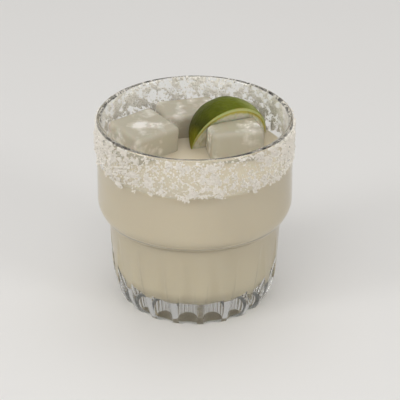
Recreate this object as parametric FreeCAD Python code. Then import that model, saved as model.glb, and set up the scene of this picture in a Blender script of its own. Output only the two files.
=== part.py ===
# Margarita cocktail, built together with its glass: a stacking rocks glass with a fluted body,
# the drink, the ice that breaks the surface, and a lime wedge.
# Millimetres, +Z up, origin at the centre of the foot, on the surface that the glass stands on.
# -Y is the front. The lime wedge leans on the ice in the right-hand half of the drink.
import FreeCAD, Part
import math
import os

from FreeCAD import Vector

ORIGIN = Vector(0, 0, 0)
UP = Vector(0, 0, 1)

# ---- glass: outside ----
GLASS_HEIGHT = 89.0
GLASS_RADIUS = 44.0          # smooth band under the rim
BAND_HEIGHT = 39.2           # from the rim down to the top of the shoulder
SHOULDER_HEIGHT = 9.2
SHOULDER_STEP = 5.0          # how far the shoulder pulls in to the fluted body
SHOULDER_SLOPE = 38.0        # degrees above level where the shoulder meets the neck
NECK_ROUND = 0.8             # reach of the hollow round between shoulder and body, along each
BODY_TAPER = 1.6             # further fall in radius from the shoulder to the heel
HEEL_HEIGHT = 15.4           # rounding at the bottom of the body
HEEL_INSET = 4.6             # from the body's radius at the heel to the foot's
FOOT_ROUND = 1.0
FOOT_RING_WIDTH = 7.1        # flat ring that it stands on, round the hollow under the foot
PUNT_DEPTH = 1.5

# ---- glass: inside ----
RIM_WALL = 2.2
BAND_WALL = 2.6              # at the bottom of the band
BODY_WALL = 3.6              # under the shoulder, before the flutes are cut
HEEL_WALL = 4.4              # at the heel, before the flutes are cut
FLOOR_THICKNESS = 10.0
FLOOR_ROUND = 9.0            # inside corner between wall and floor

# ---- flutes: pointed arches, each the path of a round cutter that runs out of the wall upwards ----
FLUTE_COUNT = 19
FLUTE_FIRST_ANGLE = 13.6     # degrees from the front towards +X
FLUTE_TIP_GAP = 0.6          # from the round at the neck down to the tips
FLUTE_ENTRY_ANGLE = 2.0      # degrees between the wall and the cutter's path at the tip
FLUTE_INSET = 4.5            # how far the groove's bottom line curves in between tip and foot
FLUTE_RIB = 0.3              # ridge left between the widest parts of two grooves at the foot

# ---- drink ----
HEADSPACE = 20.0             # from the rim down to the level

# ---- lime wedge: a slice of a round lime between two planes that meet in its core ----
LIME_RADIUS = 20.6
LIME_HALF_LENGTH = 18.6
LIME_WEDGE_ANGLE = 65.0
LIME_TIP_WALL_GAP = 2.1      # from the right-hand tip to the inside of the glass
LIME_TIP_ANGLE = 35.3        # where that tip is, degrees from +X towards the back
LIME_TIP_RISE = 0.8          # of the tip above the level
LIME_YAW = 24.6              # of the core line, from +X towards the back
LIME_PITCH = 2.1             # of the core line, above the level
LIME_LEAN = 13.2             # of the peel, from straight up towards the back

# ---- ice: cubes heaped above the level ----
ICE_ROUND = 2.2              # along the edges of a cube
ICE_GAP = 0.4                # left between ice and glass, lime or other ice
LEFT_ICE_SIZE = (25.0, 23.0, 22.0)
LEFT_ICE_YAW = 40.0          # of its first size, from +X towards the back
LEFT_ICE_TILT = 6.0          # sinks the side that faces the front
LEFT_ICE_ANGLE = 163.0       # direction from the glass's axis, degrees from +X towards the back
LEFT_ICE_WALL_GAP = 1.0
LEFT_ICE_SHOWS = 14.3        # highest point above the level
RIGHT_ICE_SIZE = (24.0, 24.0, 22.0)
RIGHT_ICE_YAW = 12.0
RIGHT_ICE_TILT = -2.0
RIGHT_ICE_OFFSET = (1.9, -8.4)   # of its centre from the middle of the lime's core line, X and Y
RIGHT_ICE_SHOWS = 13.7
BACK_ICE_SIZE = (27.0, 18.0, 20.0)
BACK_ICE_YAW = 13.0
BACK_ICE_TILT = 3.0
BACK_ICE_ANGLE = 97.0
BACK_ICE_WALL_GAP = 2.6
BACK_ICE_SHOWS = 12.0

# ---- worked out from the sizes above ----
NECK_RADIUS = GLASS_RADIUS - SHOULDER_STEP
HEEL_RADIUS = NECK_RADIUS - BODY_TAPER
FOOT_RADIUS = HEEL_RADIUS - HEEL_INSET
FOOT_RING_INNER = FOOT_RADIUS - FOOT_RING_WIDTH
BAND_BOTTOM = GLASS_HEIGHT - BAND_HEIGHT
NECK_HEIGHT = BAND_BOTTOM - SHOULDER_HEIGHT
BODY_TOP = NECK_HEIGHT - NECK_ROUND
FLUTE_TIP_HEIGHT = BODY_TOP - FLUTE_TIP_GAP
FLUTE_PATH_RADIUS = FLUTE_TIP_HEIGHT ** 2 / (2 * FLUTE_INSET)
FLUTE_CUTTER_RADIUS = (2 * math.pi * FOOT_RADIUS / FLUTE_COUNT - FLUTE_RIB) / 2
LIP_HEIGHT = GLASS_HEIGHT - RIM_WALL / 2
LEVEL = GLASS_HEIGHT - HEADSPACE
ROUND = 0.5523               # handle length that makes a cubic curve follow a quarter ellipse


def at(radius, height):
    """A point of the half section, in the XZ plane."""
    return Vector(radius, 0, height)


def line(a, b):
    return Part.LineSegment(a, b).toShape()


def curve(*poles):
    bezier = Part.BezierCurve()
    bezier.setPoles(list(poles))
    return bezier.toShape()


def quarter(a, corner, b):
    """A quarter of an ellipse from a to b inside the corner that their tangents make."""
    return curve(a, a + (corner - a) * ROUND, b + (corner - b) * ROUND, b)


def turned(edges):
    """The solid that a closed half section sweeps round the glass's axis."""
    return Part.Face(Part.Wire(edges)).revolve(ORIGIN, UP, 360)


def body_radius(height):
    """Radius of the body's straight side, carried on past its ends."""
    return HEEL_RADIUS + BODY_TAPER * (height - HEEL_HEIGHT) / (NECK_HEIGHT - HEEL_HEIGHT)


def band_inner_radius(height):
    """Inside radius of the band, between the top of the shoulder and the lip."""
    rim = GLASS_RADIUS - RIM_WALL
    bottom = GLASS_RADIUS - BAND_WALL
    return bottom + (rim - bottom) * (height - BAND_BOTTOM) / (LIP_HEIGHT - BAND_BOTTOM)


def outer_edges():
    """Half section of the outside, from the axis under the foot to the lip."""
    heel_mid = at(body_radius(HEEL_HEIGHT / 2), HEEL_HEIGHT / 2)
    foot_side = at(FOOT_RADIUS, FOOT_ROUND)
    foot_edge = at(FOOT_RADIUS - 2 * FOOT_ROUND, 0)
    ring = at(FOOT_RING_INNER, 0)
    heel = at(HEEL_RADIUS, HEEL_HEIGHT)
    body = at(body_radius(BODY_TOP), BODY_TOP)
    neck = at(NECK_RADIUS, NECK_HEIGHT)
    slope = math.radians(SHOULDER_SLOPE)
    shoulder = neck + at(math.cos(slope), math.sin(slope)) * NECK_ROUND
    corner = at(GLASS_RADIUS, shoulder.z + (GLASS_RADIUS - shoulder.x) * math.tan(slope))
    band = at(GLASS_RADIUS, BAND_BOTTOM)
    return [curve(at(0, PUNT_DEPTH), at(0.7 * FOOT_RING_INNER, PUNT_DEPTH), ring),
            line(ring, foot_edge),
            quarter(foot_edge, at(FOOT_RADIUS - 0.7 * FOOT_ROUND, 0), foot_side),
            curve(foot_side, heel_mid, heel),
            line(heel, body),
            curve(body, neck, shoulder),
            quarter(shoulder, corner, band),
            line(band, at(GLASS_RADIUS, LIP_HEIGHT))]


def inner_edges(top):
    """Half section of the inside, from the band at the given height down to the axis."""
    floor = FLOOR_THICKNESS
    corner_radius = HEEL_RADIUS - HEEL_WALL
    corner = at(corner_radius, floor + FLOOR_ROUND)
    neck = at(NECK_RADIUS - BODY_WALL, NECK_HEIGHT - SHOULDER_HEIGHT / 3)
    band = at(GLASS_RADIUS - BAND_WALL, BAND_BOTTOM)
    middle = (neck + band) * 0.5
    flat = at(corner_radius - FLOOR_ROUND, floor)
    return [line(at(band_inner_radius(top), top), band),
            curve(band, at(band.x, middle.z), middle),
            curve(middle, at(neck.x, middle.z), neck),
            line(neck, corner),
            quarter(corner, at(corner_radius, floor), flat),
            line(flat, at(0, floor))]


def flute_cutter():
    """A round cutter's sweep along the arc that is one groove's bottom, in the XZ plane."""
    lean = math.atan2(BODY_TAPER, NECK_HEIGHT - HEEL_HEIGHT)
    entry = math.radians(FLUTE_ENTRY_ANGLE)
    tip = at(body_radius(FLUTE_TIP_HEIGHT), FLUTE_TIP_HEIGHT)
    # the groove's bottom line leaves the wall at the tip, turned inwards by the entry angle
    inward = Vector(-math.cos(lean + entry), 0, math.sin(lean + entry))
    centre = tip + inward * FLUTE_PATH_RADIUS
    # start just above the tip, where the line is furthest out of the wall
    outward = Vector(math.cos(lean), 0, -math.sin(lean))
    start = centre + outward * (FLUTE_PATH_RADIUS + FLUTE_CUTTER_RADIUS)
    along = Vector(math.sin(lean), 0, math.cos(lean))
    disc = Part.Face(Part.Wire(Part.Circle(start, along, FLUTE_CUTTER_RADIUS).toShape()))
    sweep = math.degrees(1.6 * NECK_HEIGHT / FLUTE_PATH_RADIUS)
    return disc.revolve(centre, Vector(0, 1, 0), sweep)


def glass():
    """The turned blank, with its body below the round at the neck made of like fluted slices."""
    outer_lip = at(GLASS_RADIUS, LIP_HEIGHT)
    inner_lip = at(GLASS_RADIUS - RIM_WALL, LIP_HEIGHT)
    top = at(GLASS_RADIUS - RIM_WALL / 2, GLASS_HEIGHT)
    edges = outer_edges()
    edges.append(Part.Arc(outer_lip, top, inner_lip).toShape())
    edges += inner_edges(LIP_HEIGHT)
    edges.append(line(at(0, FLOOR_THICKNESS), at(0, PUNT_DEPTH)))
    blank = turned(edges)
    below_round = Part.makeCylinder(2 * GLASS_RADIUS, BODY_TOP)
    pitch = 360 / FLUTE_COUNT
    sector = Part.makeCylinder(2 * GLASS_RADIUS, BODY_TOP, ORIGIN, UP, pitch)
    sector.rotate(ORIGIN, UP, -pitch / 2)
    fluted_slice = blank.common(sector).cut(flute_cutter())
    slices = []
    for number in range(FLUTE_COUNT):
        placed = fluted_slice.copy()
        placed.rotate(ORIGIN, UP, FLUTE_FIRST_ANGLE - 90 + number * pitch)
        slices.append(placed)
    return blank.cut(below_round).fuse(slices)


def lime_frame():
    """Middle of the core line, its direction, and the direction to the middle of the peel."""
    yaw = math.radians(LIME_YAW)
    pitch = math.radians(LIME_PITCH)
    lean = math.radians(LIME_LEAN)
    core = Vector(math.cos(yaw) * math.cos(pitch), math.sin(yaw) * math.cos(pitch), math.sin(pitch))
    back = Vector(-math.sin(yaw), math.cos(yaw), 0)
    above = core.cross(back)
    peel = above * math.cos(lean) + back * math.sin(lean)
    tip_angle = math.radians(LIME_TIP_ANGLE)
    tip_radius = band_inner_radius(LEVEL) - LIME_TIP_WALL_GAP
    tip = Vector(tip_radius * math.cos(tip_angle), tip_radius * math.sin(tip_angle),
                 LEVEL + LIME_TIP_RISE)
    return tip - core * LIME_HALF_LENGTH, core, peel


def lime_wedge(margin=0.0):
    """The wedge, or with a margin the room that other pieces leave round it."""
    middle, core, peel = lime_frame()
    half_angle = LIME_WEDGE_ANGLE / 2
    drop = margin / math.sin(math.radians(half_angle))
    middle = middle - peel * drop
    reach = LIME_RADIUS + margin + drop
    half_length = LIME_HALF_LENGTH + margin
    crown = middle + peel * reach
    tips = [middle + core * side * half_length for side in (-1, 1)]
    handle = half_length * ROUND
    edges = [curve(tips[0], tips[0] + peel * reach * ROUND, crown - core * handle, crown),
             curve(crown, crown + core * handle, tips[1] + peel * reach * ROUND, tips[1]),
             line(tips[1], tips[0])]
    face = Part.Face(Part.Wire(edges))
    face.rotate(middle, core, -half_angle)
    return face.revolve(middle, core, LIME_WEDGE_ANGLE)


def lime_side():
    """Everything behind the wedge's front face, and the gap that ice leaves before it."""
    middle, core, peel = lime_frame()
    front = core.cross(peel)
    half_angle = math.radians(LIME_WEDGE_ANGLE / 2)
    rise = peel * math.cos(half_angle) + front * math.sin(half_angle)
    normal = core.cross(rise)
    span = 2 * GLASS_HEIGHT
    start = middle + normal * ICE_GAP
    corners = [start + core * x * span + rise * y * span
               for x, y in ((-1, -1), (1, -1), (1, 1), (-1, 1), (-1, -1))]
    return Part.Face(Part.makePolygon(corners)).extrude(normal * -span)


def ice_block(size, yaw, tilt, margin=0.0):
    """A cube with rounded edges about the origin; the tilt sinks the side that faces -Y."""
    length, depth, height = [side + 2 * margin for side in size]
    block = Part.makeBox(length, depth, height, Vector(-length / 2, -depth / 2, -height / 2))
    block = block.makeFillet(ICE_ROUND, block.Edges)
    block.rotate(ORIGIN, Vector(1, 0, 0), tilt)
    block.rotate(ORIGIN, UP, yaw)
    return block


def ice_height(size, yaw, tilt, shows):
    """Height of a cube's centre that puts its highest point above the level by shows."""
    return LEVEL + shows - ice_block(size, yaw, tilt).optimalBoundingBox().ZMax


def wall_place(size, yaw, tilt, angle, wall_gap, shows):
    """Centre of a cube that lies at an angle from +X, a gap away from the inside of the glass."""
    direction = Vector(math.cos(math.radians(angle)), math.sin(math.radians(angle)), 0)
    block = ice_block(size, yaw, tilt)
    reach = max(vertex.Point.dot(direction) for vertex in block.Vertexes)
    place = direction * (band_inner_radius(LEVEL) - wall_gap - reach)
    place.z = ice_height(size, yaw, tilt, shows)
    return place


def lime_place(size, yaw, tilt, offset, shows):
    """Centre of a cube that lies by the lime wedge."""
    middle = lime_frame()[0]
    return Vector(middle.x + offset[0], middle.y + offset[1], ice_height(size, yaw, tilt, shows))


def ice_cubes():
    """The cubes by name; each is trimmed where the lime or a cube before it already lies."""
    left = (LEFT_ICE_SIZE, LEFT_ICE_YAW, LEFT_ICE_TILT)
    right = (RIGHT_ICE_SIZE, RIGHT_ICE_YAW, RIGHT_ICE_TILT)
    back = (BACK_ICE_SIZE, BACK_ICE_YAW, BACK_ICE_TILT)
    placed = {"ice_cube_left": (left, wall_place(*left, LEFT_ICE_ANGLE, LEFT_ICE_WALL_GAP,
                                                 LEFT_ICE_SHOWS)),
              "ice_cube_right": (right, lime_place(*right, RIGHT_ICE_OFFSET, RIGHT_ICE_SHOWS)),
              "ice_cube_back": (back, wall_place(*back, BACK_ICE_ANGLE, BACK_ICE_WALL_GAP,
                                                 BACK_ICE_SHOWS))}
    taken = {"ice_cube_left": [lime_wedge(ICE_GAP)],
             "ice_cube_right": [lime_side()],
             "ice_cube_back": [lime_wedge(ICE_GAP)]}
    cubes = {}
    before = []
    for name, (form, place) in placed.items():
        cube = ice_block(*form).translated(place)
        cubes[name] = cube.cut(taken[name] + before)
        before.append(ice_block(*form, ICE_GAP).translated(place))
    return cubes


def drink():
    """Fills the inside up to the level, before the ice and the lime are cut out."""
    radius = band_inner_radius(LEVEL)
    edges = inner_edges(LEVEL)
    edges.append(line(at(0, FLOOR_THICKNESS), at(0, LEVEL)))
    edges.append(line(at(0, LEVEL), at(radius, LEVEL)))
    return turned(edges)


pieces = {"lime_wedge": lime_wedge(), **ice_cubes()}
pieces["drink"] = drink().cut(list(pieces.values()))
pieces["glass"] = glass()

os.makedirs("parts", exist_ok=True)
for name, shape in pieces.items():
    solids = shape.Solids
    print(f"{name}: {len(solids)} solid, valid {shape.isValid()}, {shape.Volume / 1000:.1f} cm3")
    (solids[0] if len(solids) == 1 else shape).exportStep(f"parts/{name}.step")
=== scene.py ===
"""Looks of the margarita cocktail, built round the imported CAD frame. Metres, +Z up, -Y is the front."""
import math

import bmesh
import bpy
import numpy as np
from mathutils import Matrix, Vector, noise
from mathutils.bvhtree import BVHTree


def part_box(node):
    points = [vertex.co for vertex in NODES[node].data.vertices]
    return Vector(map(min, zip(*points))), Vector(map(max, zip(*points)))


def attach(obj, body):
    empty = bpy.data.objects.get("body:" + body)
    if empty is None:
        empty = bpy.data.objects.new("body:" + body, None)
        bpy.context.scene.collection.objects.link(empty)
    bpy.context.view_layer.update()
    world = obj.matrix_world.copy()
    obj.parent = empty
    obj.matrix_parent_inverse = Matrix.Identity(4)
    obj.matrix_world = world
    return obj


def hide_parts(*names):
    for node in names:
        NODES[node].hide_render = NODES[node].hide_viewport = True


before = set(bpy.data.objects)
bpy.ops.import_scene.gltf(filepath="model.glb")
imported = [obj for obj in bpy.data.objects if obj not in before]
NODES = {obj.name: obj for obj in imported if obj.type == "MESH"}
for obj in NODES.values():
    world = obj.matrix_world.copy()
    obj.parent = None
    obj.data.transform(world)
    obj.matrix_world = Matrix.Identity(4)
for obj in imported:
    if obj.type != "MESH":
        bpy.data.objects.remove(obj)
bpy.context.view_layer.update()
MM = 0.001

# ---- sizes read from the frame ----
GLASS_LOW, GLASS_HIGH = (Vector(corner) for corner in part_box("glass"))
DRINK_LOW, DRINK_HIGH = (Vector(corner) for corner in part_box("drink"))
RIM_HEIGHT = GLASS_HIGH.z
RIM_RADIUS = (GLASS_HIGH.x - GLASS_LOW.x) / 2
LEVEL = DRINK_HIGH.z
INNER_FLOOR = DRINK_LOW.z

# ---- camera: the view solved from the photograph ----
CAMERA_TARGET_HEIGHT = 44 * MM
CAMERA_DISTANCE = 1.151
CAMERA_ELEVATION = 27.83
CAMERA_LENS = 228.2
CAMERA_SHIFT = (0.0128, 0.0141)

# ---- drink ----
INTO_WALL = 0.15 * MM          # the drink reaches this far into glass, ice and lime
MENISCUS_HEIGHT = 0.9 * MM
MENISCUS_WIDTH = 1.6 * MM
MENISCUS_FALL = 2.2            # how fast the edge's rise dies away over that width
DRINK_SEGMENTS = 144
WALL_ROWS = 70                 # heights at which the glass's wall is measured
FLOOR_ROWS = 8                 # the lowest of them are drawn down into the glass's floor
FLOOR_SHARES = (0.25, 0.5, 0.75)
SURFACE_ROWS = 60
SURFACE_CROWDING = 1.5         # above 1 crowds the rows towards the wall
SURFACE_RIPPLE = 0.12 * MM
SURFACE_RIPPLE_SCALE = 90      # per metre
SKIN_VOXEL = 0.5 * MM

# ---- ice ----
ICE_VOXEL = 0.55 * MM
ICE_DIP = 0.3                  # millimetres, as are the next two
ICE_RIPPLE = 0.03
ICE_SHRINK = 0.1
ICE_DIP_SCALE = 110            # per metre
ICE_RIPPLE_SCALE = 420

# ---- lime ----
ALONG_STEPS = 150
DEEP_STEPS = 48
ROUND_STEPS = 44
RIND_SPAN = 8 * MM             # depth under the peel at which the rind attribute is 1
SAC_COLUMNS = 26               # cells of flesh along the wedge
SAC_ROWS = 5.5                 # and from core to peel
PEEL_SWELL = 0.25 * MM
PEEL_SWELL_SCALE = 160         # per metre
PEEL_EDGE = 1 / 8              # share of the peel over which the swell grows from either edge
CORE_LIFT = 0.3 * MM
PITH_WIDTH = 2.2               # millimetres of smooth rind before the flesh begins
FLESH_SHARE = 1 / 4            # share of the way out from the core over which the flesh grows
FLESH_SINK = 0.25              # millimetres, as are the heights of the ridges
FLESH_RIDGES = ((19, 4, 7, 0.35), (50, 14, 3, 0.15))  # scales along, outwards and by side; height

# ---- salt ----
SALT_GRAINS = 14000
SALT_GRAIN_SIZE = (0.28 * MM, 0.85 * MM)
SALT_DEPTH = 19.0 * MM         # below the rim
SALT_CLUMP = 3.2 * MM          # size of the lacy clumps and of the gaps between them
SALT_THIN_ANGLE = 28           # degrees from the front towards +X, where the salt is thinnest
SALT_THIN_SPREAD = 9
SALT_THIN_SHARE = 0.65         # share of the cover missing there
SALT_TOP_GAP = 1.0 * MM
SALT_THICKNESS = 1.1 * MM
SALT_REACH = 1.15              # deepest try, as a share of SALT_DEPTH
SALT_EDGE_WAVE = 0.2           # how far the lower edge wanders, as a share of SALT_DEPTH
SALT_EDGE_FADE = 1.6 * MM
SALT_FEWEST = 0.08             # chance of salt in the gaps of the lace
SALT_LACE_LIFT = 0.12
SALT_LACE_GAIN = 1.9
HEAP_PER_DEGREE = 0.16         # how often the salt heaps up round the rim
HEAP_PER_MM = 0.55             # and downwards
HEAP_LIFT = 0.25
GRAIN_POWER = 1.6              # above 1 makes small grains commoner than large
GRAIN_JITTER = 0.35            # how far a corner strays, as a share of its place
GRAIN_STRETCH = (0.65, 1.15)
GRAIN_STAND = 0.3              # a grain's centre stands this share of its size off the glass

# ---- stage ----
FLOOR_HALF = 6.0
WORLD_COLOUR = (1.0, 0.985, 0.96, 1)
WORLD_STRENGTH = 0.42
LIGHTS = (  # name, azimuth, elevation, distance, width, height, radiance; degrees and metres
    ("strip_left", -62, 14, 1.2, 0.3, 1.0, 5.6),
    ("strip_right", 52, 14, 1.2, 0.3, 1.0, 4.7),
    ("fill", -12, 58, 1.5, 1.1, 0.9, 1.9),
    ("overhead", 170, 68, 1.5, 1.2, 1.0, 1.2),
)


# =========================== helpers ===========================
def new_object(name, mesh):
    piece = bpy.data.objects.new(name, mesh)
    bpy.context.scene.collection.objects.link(piece)
    return piece


def smooth(mesh):
    mesh.polygons.foreach_set("use_smooth", [True] * len(mesh.polygons))
    mesh.update()


def grid_faces(rows, columns, closed):
    """Quads of a rows by columns grid of vertices, closed round its columns or not."""
    steps = columns if closed else columns - 1
    faces = []
    for row in range(rows - 1):
        for column in range(steps):
            after = (column + 1) % columns
            faces.append((row * columns + column, row * columns + after,
                          (row + 1) * columns + after, (row + 1) * columns + column))
    return faces


def surface_tree(piece):
    """A ray-casting tree of a piece's own mesh."""
    mesh = piece.data
    return BVHTree.FromPolygons([v.co for v in mesh.vertices],
                                [tuple(p.vertices) for p in mesh.polygons])


def bake_modifiers(piece):
    """Give the piece the mesh that its modifiers make, and take them off."""
    graph = bpy.context.evaluated_depsgraph_get()
    mesh = bpy.data.meshes.new_from_object(piece.evaluated_get(graph))
    piece.modifiers.clear()
    piece.data = mesh


# =========================== materials ===========================
class Nodes:
    """Short calls for a material's node tree around one Principled shader."""

    def __init__(self, name):
        self.material = bpy.data.materials.new(name)
        self.material.use_nodes = True
        self.tree = self.material.node_tree
        self.shader = self.tree.nodes["Principled BSDF"]
        self.place = self.tree.nodes.new("ShaderNodeTexCoord").outputs["Object"]

    def set(self, **values):
        for name, value in values.items():
            self.shader.inputs[name.replace("_", " ")].default_value = value

    def link(self, output, name):
        self.tree.links.new(output, self.shader.inputs[name])

    def noise(self, scale, detail=3.0, roughness=0.5):
        node = self.tree.nodes.new("ShaderNodeTexNoise")
        node.inputs["Scale"].default_value = scale
        node.inputs["Detail"].default_value = detail
        node.inputs["Roughness"].default_value = roughness
        self.tree.links.new(self.place, node.inputs["Vector"])
        return node.outputs["Fac"]

    def cells(self, scale, vector=None):
        node = self.tree.nodes.new("ShaderNodeTexVoronoi")
        node.inputs["Scale"].default_value = scale
        self.tree.links.new(vector or self.place, node.inputs["Vector"])
        return node.outputs["Distance"]

    def ramp(self, factor, *stops):
        node = self.tree.nodes.new("ShaderNodeValToRGB")
        elements = node.color_ramp.elements
        while len(elements) < len(stops):
            elements.new(1.0)
        for element, (position, colour) in zip(elements, stops):
            element.position = position
            element.color = (*colour, 1.0)
        self.tree.links.new(factor, node.inputs["Fac"])
        return node.outputs["Color"]

    def range(self, value, low, high, to_low=0.0, to_high=1.0):
        node = self.tree.nodes.new("ShaderNodeMapRange")
        for name, number in (("From Min", low), ("From Max", high),
                             ("To Min", to_low), ("To Max", to_high)):
            node.inputs[name].default_value = number
        self.tree.links.new(value, node.inputs["Value"])
        return node.outputs["Result"]

    def mix(self, factor, a, b):
        node = self.tree.nodes.new("ShaderNodeMix")
        node.data_type = "RGBA"
        for socket, value in zip((node.inputs[0], node.inputs[6], node.inputs[7]), (factor, a, b)):
            if isinstance(value, tuple):
                socket.default_value = (*value, 1.0)
            else:
                self.tree.links.new(value, socket)
        return node.outputs[2]

    def bump(self, height, strength, distance):
        node = self.tree.nodes.new("ShaderNodeBump")
        node.inputs["Strength"].default_value = strength
        node.inputs["Distance"].default_value = distance
        self.tree.links.new(height, node.inputs["Height"])
        self.tree.links.new(node.outputs["Normal"], self.shader.inputs["Normal"])

    def attribute(self, name):
        node = self.tree.nodes.new("ShaderNodeAttribute")
        node.attribute_name = name
        return node.outputs["Fac"]

    def let_lamps_through(self, tint):
        """Shadow rays pass with a tint, so lamps light what lies behind the surface."""
        path = self.tree.nodes.new("ShaderNodeLightPath")
        clear = self.tree.nodes.new("ShaderNodeBsdfTransparent")
        clear.inputs["Color"].default_value = (*tint, 1)
        either = self.tree.nodes.new("ShaderNodeMixShader")
        output = self.tree.nodes["Material Output"]
        self.tree.links.new(path.outputs["Is Shadow Ray"], either.inputs[0])
        self.tree.links.new(self.shader.outputs[0], either.inputs[1])
        self.tree.links.new(clear.outputs[0], either.inputs[2])
        self.tree.links.new(either.outputs[0], output.inputs["Surface"])

    def height_of(self):
        """Height in the frame, in metres."""
        node = self.tree.nodes.new("ShaderNodeSeparateXYZ")
        self.tree.links.new(self.place, node.inputs["Vector"])
        return node.outputs["Z"]


def glass_material():
    """Clear glass; lamps shine straight through it onto what it holds."""
    n = Nodes("clear_glass")
    n.set(Base_Color=(0.985, 0.99, 0.98, 1), Roughness=0.0, IOR=1.5, Transmission_Weight=1.0)
    n.bump(n.noise(60, 2.0), 0.05, 0.3 * MM)
    n.let_lamps_through((0.93, 0.935, 0.92))
    return n.material


def drink_material(name, specular, lift):
    """Cloudy drink, a touch less yellow towards its level; lift brightens it there, which above 1 is
    painted light, a lit copy of the same drink.
    """
    n = Nodes(name)
    cloud = n.noise(38, 4.0, 0.55)
    height = n.range(n.height_of(), INNER_FLOOR, LEVEL)
    low = n.mix(cloud, (0.54, 0.475, 0.35), (0.585, 0.525, 0.39))
    # the colour at the level is scaled by lift; above 1 this brightening is painted light
    high = n.mix(cloud, (0.54 * lift, 0.475 * lift, 0.36 * lift),
                 (0.585 * lift, 0.52 * lift, 0.405 * lift))
    n.link(n.mix(height, low, high), "Base Color")
    n.set(Roughness=0.06, IOR=1.34, Specular_IOR_Level=specular)
    n.set(Subsurface_Weight=0.5, Subsurface_Scale=4 * MM, Subsurface_Radius=(1.0, 0.9, 0.7))
    return n.material


def ice_material():
    """Ice tinted by the drink, with paler and rougher frost in patches."""
    tinted, milky, frosted = (0.58, 0.53, 0.40), (0.67, 0.62, 0.50), (0.88, 0.84, 0.77)
    n = Nodes("wet_ice")
    frost = n.range(n.noise(110, 4.0, 0.55), 0.50, 0.70)
    veil = n.noise(45, 3.0)
    n.link(n.mix(frost, n.mix(veil, tinted, milky), frosted), "Base Color")
    n.link(n.range(frost, 0.0, 1.0, 0.07, 0.4), "Roughness")
    n.link(n.range(frost, 0.0, 1.0, 0.25, 0.03), "Transmission Weight")
    n.set(IOR=1.31, Subsurface_Weight=0.12, Subsurface_Scale=2 * MM)
    n.bump(n.noise(60, 2.0), 0.1, 0.4 * MM)
    return n.material


def salt_material():
    n = Nodes("damp_salt")
    n.link(n.mix(n.noise(900, 2.0), (0.69, 0.65, 0.58), (0.88, 0.84, 0.78)), "Base Color")
    n.set(Roughness=0.3, IOR=1.54)
    return n.material


def peel_material():
    """Mottled green peel with fine pores: yellow at the left tip, the peel's own colour; darkest beside
    it and palest at the right end, painted shade and painted light along the wedge.
    """
    n = Nodes("lime_peel")
    along = n.attribute("along")
    # Ramp along the wedge: the yellow left tip is the peel's own colour; the dark stretch beside it and
    # the pale right end are painted shade and painted light.
    tip_colour_and_painted_light = n.ramp(along, (0.0, (0.34, 0.27, 0.02)), (0.07, (0.20, 0.19, 0.01)),
                  (0.20, (0.045, 0.05, 0.004)), (0.55, (0.125, 0.15, 0.004)),
                  (0.78, (0.34, 0.37, 0.10)), (1.0, (0.60, 0.58, 0.26)))
    mottle = n.range(n.noise(240, 4.0), 0.3, 0.7, 0.78, 1.15)
    scaled = n.tree.nodes.new("ShaderNodeVectorMath")
    scaled.operation = "SCALE"
    n.tree.links.new(tip_colour_and_painted_light, scaled.inputs[0])
    n.tree.links.new(mottle, scaled.inputs["Scale"])
    n.link(scaled.outputs[0], "Base Color")
    n.set(Roughness=0.4, IOR=1.45, Specular_IOR_Level=0.12)
    n.bump(n.cells(750), 0.5, 0.35 * MM)
    return n.material


def flesh_material():
    """From the peel's edge inwards: a thin green line, pale pith, a yellow band, then flesh."""
    n = Nodes("lime_flesh")
    depth = n.attribute("rind")
    ring = n.ramp(depth, (0.0, (0.20, 0.26, 0.03)), (0.08, (0.55, 0.60, 0.22)),
                  (0.20, (0.60, 0.64, 0.30)), (0.30, (0.52, 0.46, 0.06)),
                  (0.42, (0.60, 0.54, 0.16)), (0.55, (0.56, 0.56, 0.30)))
    sacs = n.tree.nodes.new("ShaderNodeUVMap")
    sacs.uv_map = "sacs"
    cells = n.cells(1.0, sacs.outputs["UV"])
    flesh = n.mix(n.range(cells, 0.0, 0.75), (0.62, 0.62, 0.42), (0.74, 0.72, 0.60))
    inside = n.range(depth, 0.42, 0.6)
    n.link(n.mix(inside, ring, flesh), "Base Color")
    n.set(Roughness=0.18, IOR=1.36, Subsurface_Weight=0.35, Subsurface_Scale=2 * MM)
    n.bump(cells, 0.5, 0.5 * MM)
    return n.material


def floor_material():
    n = Nodes("pale_floor")
    n.link(n.mix(n.noise(3.0), (0.80, 0.79, 0.775), (0.83, 0.82, 0.805)), "Base Color")
    n.set(Roughness=0.55, Specular_IOR_Level=0.3)
    return n.material


# =========================== drink ===========================
def wall_profile():
    """Inside radius of the glass by height, measured on the glass node, floor to level."""
    tree = surface_tree(NODES["glass"])
    profile = []
    for height in np.linspace(INNER_FLOOR + 0.05 * MM, LEVEL, WALL_ROWS):
        hit = tree.ray_cast(Vector((0, 0, height)), Vector((0, -1, 0)))[0]
        profile.append((-hit.y, float(height)))
    return profile


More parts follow.
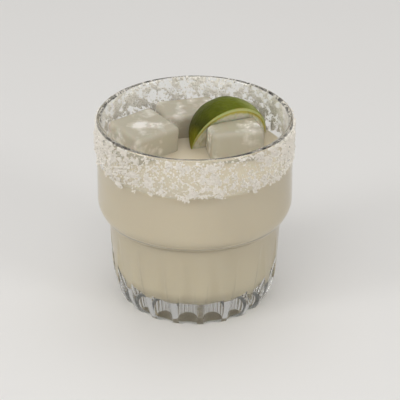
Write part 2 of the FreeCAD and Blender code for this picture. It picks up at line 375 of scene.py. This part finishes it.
def drink_mesh():
    """The drink turned about the glass's axis: floor, wall, and a surface that climbs at the wall."""
    profile = wall_profile()
    wall = profile[-1][0]
    rows = [(profile[0][0] * share, INNER_FLOOR - INTO_WALL) for share in FLOOR_SHARES]
    rows += [(radius + INTO_WALL, height - INTO_WALL * (index < FLOOR_ROWS))
             for index, (radius, height) in enumerate(profile)]
    surface = [(wall + INTO_WALL, LEVEL + MENISCUS_HEIGHT)]
    for share in np.linspace(0, 1, SURFACE_ROWS)[1:-1]:
        inward = wall * share ** SURFACE_CROWDING
        lift = MENISCUS_HEIGHT * math.exp(-inward / MENISCUS_WIDTH * MENISCUS_FALL)
        surface.append((wall - inward, LEVEL + lift))
    rows += surface
    top_start = len(rows) - len(surface)
    vertices = []
    for index, (radius, height) in enumerate(rows):
        for step in range(DRINK_SEGMENTS):
            angle = 2 * math.pi * step / DRINK_SEGMENTS
            spot = Vector((radius * math.cos(angle), radius * math.sin(angle), height))
            if index > top_start:
                spot.z += SURFACE_RIPPLE * noise.noise(spot * SURFACE_RIPPLE_SCALE)
            vertices.append(spot)
    faces = grid_faces(len(rows), DRINK_SEGMENTS, True)
    bottom = len(vertices)
    vertices += [Vector((0, 0, INNER_FLOOR - INTO_WALL)), Vector((0, 0, LEVEL))]
    last = (len(rows) - 1) * DRINK_SEGMENTS
    for step in range(DRINK_SEGMENTS):
        after = (step + 1) % DRINK_SEGMENTS
        faces.append((bottom, after, step))
        faces.append((bottom + 1, last + step, last + after))
    mesh = bpy.data.meshes.new("drink_body")
    mesh.from_pydata(vertices, [], faces)
    mesh.validate()
    return mesh


def cutter(piece, by):
    """A plain closed skin of the piece, drawn in along its normals, to cut another piece with."""
    skin = new_object("cutter", piece.data.copy())
    skin.matrix_world = piece.matrix_world.copy()
    remesh = skin.modifiers.new("remesh", "REMESH")
    remesh.mode = "VOXEL"
    remesh.voxel_size = SKIN_VOXEL
    bake_modifiers(skin)
    normals = [vertex.normal.copy() for vertex in skin.data.vertices]
    for vertex, normal in zip(skin.data.vertices, normals):
        vertex.co -= normal * by
    return skin


def make_drink(sunk):
    piece = new_object("drink_body", drink_mesh())
    skins = [cutter(other, INTO_WALL) for other in sunk]
    for skin in skins:
        cut = piece.modifiers.new("cut", "BOOLEAN")
        cut.operation = "DIFFERENCE"
        cut.solver = "EXACT"
        cut.object = skin
    bake_modifiers(piece)
    for skin in skins:
        bpy.data.objects.remove(skin)
    smooth(piece.data)
    piece.data.materials.clear()  # the cut brings in the ice's and the lime's
    piece.data.materials.append(drink_material("drink_in_glass", 0.0, 1.0))
    # The second material is a lit copy of the drink for its top faces: lift 1.2 is painted light, while
    # its specular is the real open surface.
    piece.data.materials.append(drink_material("drink_surface_painted_lit", 0.5, 1.2))
    # faces at the level that face up take the painted-lit copy
    for face in piece.data.polygons:
        face.material_index = int(face.center.z > LEVEL - 0.5 * MM and face.normal.z > 0.2)
    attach(piece, "root")
    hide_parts("drink")


# =========================== ice ===========================
def make_ice(node, material):
    """The cube's CAD form, remeshed and melted a little: soft edges, shallow dips."""
    piece = new_object(node + "_melted", NODES[node].data.copy())
    remesh = piece.modifiers.new("remesh", "REMESH")
    remesh.mode = "VOXEL"
    remesh.voxel_size = ICE_VOXEL
    even = piece.modifiers.new("even", "SMOOTH")
    even.factor = 0.5
    even.iterations = 8
    bake_modifiers(piece)
    mesh = piece.data
    normals = [v.normal.copy() for v in mesh.vertices]
    for vertex, normal in zip(mesh.vertices, normals):
        broad = noise.noise(vertex.co * ICE_DIP_SCALE)
        fine = noise.noise(vertex.co * ICE_RIPPLE_SCALE)
        vertex.co += normal * (ICE_DIP * broad + ICE_RIPPLE * fine - ICE_SHRINK) * MM
    smooth(mesh)
    mesh.materials.clear()
    mesh.materials.append(material)
    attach(piece, "root")
    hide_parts(node)
    return piece


# =========================== lime ===========================
def lime_frame():
    """The wedge's own axes, measured on its node: X along the core, Z to the middle of the peel."""
    spots = np.array([v.co[:] for v in NODES["lime_wedge"].data.vertices])
    low = spots[spots[:, 0].argmin()]
    for _ in range(3):
        high = spots[((spots - low) ** 2).sum(1).argmax()]
        low = spots[((spots - high) ** 2).sum(1).argmax()]
    if low[0] > high[0]:
        low, high = high, low
    low, high = Vector(low), Vector(high)
    middle = (low + high) / 2
    core = (high - low).normalized()
    towards = Vector(spots.mean(0)) - middle
    rough = (towards - core * towards.dot(core)).normalized()
    flank = rough.cross(core)
    half_length = (high - low).length / 2
    across = [Vector(s) - middle for s in spots]
    flat = [(v.dot(flank), v.dot(rough)) for v in across]
    radius = max(math.hypot(*pair) for pair in flat)
    angles = [math.atan2(y, z) for y, z in flat if math.hypot(y, z) > radius / 2]
    half_angle = (max(angles) - min(angles)) / 2
    lean = (max(angles) + min(angles)) / 2
    peel = rough * math.cos(lean) + flank * math.sin(lean)
    side = peel.cross(core)
    matrix = Matrix((core, side, peel)).transposed().to_4x4()
    matrix.translation = middle
    return matrix, half_length, radius, half_angle


def make_lime():
    """The wedge with its peel, two cut sides and core in one mesh, measured on its node."""
    matrix, half_length, radius, half_angle = lime_frame()
    turns = np.linspace(0, math.pi, ALONG_STEPS + 1)[1:-1]
    vertices, faces, kinds = [], [], []
    rinds, alongs, sacs = [], [], []

    def add(spot, turn, share, edge):
        vertices.append(spot)
        rinds.append((1 - share) * edge / RIND_SPAN)
        alongs.append(turn / math.pi)
        sacs.append((turn / math.pi * SAC_COLUMNS, share * SAC_ROWS))
        return len(vertices) - 1

    tips = [add(Vector((side * half_length, 0, 0)), (side + 1) / 2 * math.pi, 1, 0)
            for side in (-1, 1)]
    peel = []
    for turn in turns:
        row = []
        edge = radius * math.sin(turn)
        for step in range(ROUND_STEPS + 1):
            angle = half_angle * (2 * step / ROUND_STEPS - 1)
            spot = Vector((-half_length * math.cos(turn), edge * math.sin(angle),
                           edge * math.cos(angle)))
            swell = PEEL_SWELL * noise.noise(spot * PEEL_SWELL_SCALE) * math.sin(turn)
            inner = min(step, ROUND_STEPS - step) / ROUND_STEPS
            spot += spot.normalized() * swell * min(1, inner / PEEL_EDGE)
            row.append(add(spot, turn, 1, edge))
        peel.append(row)
    core = [add(Vector((-half_length * math.cos(turn), 0, CORE_LIFT)), turn, 0, radius * math.sin(turn))
            for turn in turns]
    sides = []
    for side in (-1, 1):
        normal = Vector((0, side * math.cos(half_angle), -math.sin(half_angle)))
        grid = []
        for index, turn in enumerate(turns):
            edge = radius * math.sin(turn)
            row = [core[index]]
            for step in range(1, DEEP_STEPS):
                share = step / DEEP_STEPS
                reach = edge * share
                spot = Vector((-half_length * math.cos(turn), side * reach * math.sin(half_angle),
                               reach * math.cos(half_angle)))
                depth = (1 - share) * edge / MM
                flesh = min(1, max(0, depth - PITH_WIDTH)) * min(1, share / FLESH_SHARE)
                ridge = sum(noise.noise(Vector((turn * along, share * out, side * by_side))) * height
                            for along, out, by_side, height in FLESH_RIDGES)
                spot += normal * flesh * (ridge - FLESH_SINK) * MM
                row.append(add(spot, turn, share, edge))
            row.append(peel[index][0 if side < 0 else -1])
            grid.append(row)
        sides.append(grid)

    def skin(grid, kind, flip):
        for here, there in zip(grid, grid[1:]):
            for a, b, c, d in zip(here, here[1:], there[1:], there):
                faces.append((a, d, c, b) if flip else (a, b, c, d))
                kinds.append(kind)
        for row, tip, turned in ((grid[0], tips[0], not flip), (grid[-1], tips[1], flip)):
            for a, b in zip(row, row[1:]):
                faces.append((tip, b, a) if turned else (tip, a, b))
                kinds.append(kind)

    skin(peel, 0, False)
    skin(sides[0], 1, False)
    skin(sides[1], 1, True)
    mesh = bpy.data.meshes.new("lime_wedge_cut")
    mesh.from_pydata(vertices, [], faces)
    for name, values in (("rind", rinds), ("along", alongs)):
        mesh.attributes.new(name, "FLOAT", "POINT").data.foreach_set("value", values)
    layer = mesh.uv_layers.new(name="sacs")
    for loop in mesh.loops:
        layer.data[loop.index].uv = sacs[loop.vertex_index]
    mesh.materials.append(peel_material())
    mesh.materials.append(flesh_material())
    mesh.polygons.foreach_set("material_index", kinds)
    smooth(mesh)
    edit = bmesh.new()
    edit.from_mesh(mesh)
    bmesh.ops.recalc_face_normals(edit, faces=edit.faces)
    for edge in edit.edges:
        if len(edge.link_faces) == 2:
            first, second = edge.link_faces
            edge.smooth = first.material_index == second.material_index
    edit.to_mesh(mesh)
    edit.free()
    mesh.transform(matrix)
    piece = new_object("lime_wedge_cut", mesh)
    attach(piece, "root")
    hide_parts("lime_wedge")
    return piece


# =========================== salt ===========================
def salt_cover(angle, depth):
    """Chance of salt at an angle from the front towards +X, in degrees, and a depth below the rim."""
    turn = math.radians(angle)
    spot = Vector((math.cos(turn), math.sin(turn), depth / RIM_RADIUS)) * (RIM_RADIUS / SALT_CLUMP)
    lace = noise.noise(spot) + 0.5 * noise.noise(spot * 2.3) + 0.4 * noise.noise(spot * 0.25)
    edge = SALT_DEPTH * (1 + SALT_EDGE_WAVE * noise.noise(spot * 0.5 + Vector((9, 0, 0))))
    fade = min(1.0, max(0.0, (edge - depth) / SALT_EDGE_FADE))
    thin = 1 - SALT_THIN_SHARE * math.exp(-((angle - SALT_THIN_ANGLE) / SALT_THIN_SPREAD) ** 2)
    return fade * thin * min(1.0, max(SALT_FEWEST, (lace + SALT_LACE_LIFT) * SALT_LACE_GAIN))


def make_salt():
    """Small broken cubes on the outside of the rim, thick where clumped, in one mesh."""
    random = np.random.default_rng(11)
    places, heights = [], []
    while len(places) < SALT_GRAINS:
        angle = random.uniform(-180, 180)
        depth = random.uniform(SALT_TOP_GAP, SALT_DEPTH * SALT_REACH)
        if random.uniform() > salt_cover(angle, depth):
            continue
        heap = noise.noise(Vector((angle * HEAP_PER_DEGREE, depth / MM * HEAP_PER_MM, 5.0)))
        places.append((math.radians(angle - 90), depth))
        heights.append(SALT_THICKNESS * max(0.0, heap + HEAP_LIFT) * random.uniform(0, 1.0))
    places = np.array(places)
    heights = np.array(heights)
    sizes = random.uniform(0, 1, SALT_GRAINS) ** GRAIN_POWER
    sizes = SALT_GRAIN_SIZE[0] + sizes * (SALT_GRAIN_SIZE[1] - SALT_GRAIN_SIZE[0])
    corners = np.array([(x, y, z) for x in (-1, 1) for y in (-1, 1) for z in (-1, 1)]) * 0.5
    shapes = corners[None] * (1 + random.uniform(-GRAIN_JITTER, GRAIN_JITTER, (SALT_GRAINS, 8, 3)))
    shapes *= sizes[:, None, None] * random.uniform(*GRAIN_STRETCH, (SALT_GRAINS, 1, 3))
    turns = random.normal(size=(SALT_GRAINS, 4))
    turns /= np.linalg.norm(turns, axis=1)[:, None]
    w, x, y, z = turns.T
    spin = np.stack([1 - 2 * (y * y + z * z), 2 * (x * y - w * z), 2 * (x * z + w * y),
                     2 * (x * y + w * z), 1 - 2 * (x * x + z * z), 2 * (y * z - w * x),
                     2 * (x * z - w * y), 2 * (y * z + w * x), 1 - 2 * (x * x + y * y)],
                    axis=1).reshape(-1, 3, 3)
    shapes = np.einsum("nij,nkj->nki", spin, shapes)
    radius = RIM_RADIUS + sizes * GRAIN_STAND + heights
    centres = np.stack([radius * np.cos(places[:, 0]), radius * np.sin(places[:, 0]),
                        RIM_HEIGHT - places[:, 1]], axis=1)
    vertices = (shapes + centres[:, None]).reshape(-1, 3)
    quads = np.array([(0, 1, 3, 2), (4, 6, 7, 5), (0, 4, 5, 1),
                      (2, 3, 7, 6), (0, 2, 6, 4), (1, 5, 7, 3)])
    faces = (quads[None] + 8 * np.arange(SALT_GRAINS)[:, None, None]).reshape(-1, 4)
    mesh = bpy.data.meshes.new("salt_rim")
    mesh.from_pydata(vertices.tolist(), [], faces.tolist())
    mesh.materials.append(salt_material())
    piece = new_object("salt_rim", mesh)
    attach(piece, "root")


# =========================== stage ===========================
def make_floor():
    corners = ((-1, -1), (1, -1), (1, 1), (-1, 1))
    mesh = bpy.data.meshes.new("floor")
    mesh.from_pydata([(x * FLOOR_HALF, y * FLOOR_HALF, 0) for x, y in corners], [], [(0, 1, 2, 3)])
    mesh.materials.append(floor_material())
    new_object("floor", mesh)


def add_light(name, azimuth, elevation, distance, width, height, radiance):
    """A soft rectangular light that faces the glass; azimuth from the front towards +X."""
    lamp = bpy.data.lights.new(name, "AREA")
    lamp.shape = "RECTANGLE"
    lamp.size = width
    lamp.size_y = height
    lamp.energy = radiance * math.pi * width * height
    light = bpy.data.objects.new(name, lamp)
    bpy.context.scene.collection.objects.link(light)
    azimuth, elevation = math.radians(azimuth), math.radians(elevation)
    way = Vector((math.sin(azimuth) * math.cos(elevation), -math.cos(azimuth) * math.cos(elevation),
                  math.sin(elevation)))
    light.location = way * distance + Vector((0, 0, CAMERA_TARGET_HEIGHT))
    light.rotation_euler = way.to_track_quat("Z", "Y").to_euler()


def make_lights():
    world = bpy.data.worlds.new("studio")
    bpy.context.scene.world = world
    world.use_nodes = True
    background = world.node_tree.nodes["Background"]
    background.inputs["Color"].default_value = WORLD_COLOUR
    background.inputs["Strength"].default_value = WORLD_STRENGTH
    for light in LIGHTS:
        add_light(*light)


def make_camera():
    data = bpy.data.cameras.new("camera")
    data.lens = CAMERA_LENS
    data.sensor_width = 36
    data.shift_x, data.shift_y = CAMERA_SHIFT
    data.clip_start = 0.01
    camera = bpy.data.objects.new("camera", data)
    bpy.context.scene.collection.objects.link(camera)
    elevation = math.radians(CAMERA_ELEVATION)
    way = Vector((0, -math.cos(elevation), math.sin(elevation)))
    camera.location = way * CAMERA_DISTANCE + Vector((0, 0, CAMERA_TARGET_HEIGHT))
    camera.rotation_euler = way.to_track_quat("Z", "Y").to_euler()
    bpy.context.scene.camera = camera


glass = NODES["glass"]
glass.data.materials.clear()
glass.data.materials.append(glass_material())
ice = ice_material()
cubes = [make_ice(node, ice) for node in sorted(NODES) if node.startswith("ice_cube")]
lime = make_lime()
make_drink(cubes + [lime])
make_salt()
make_floor()
make_lights()
make_camera()
bpy.context.scene.view_settings.view_transform = "Standard"
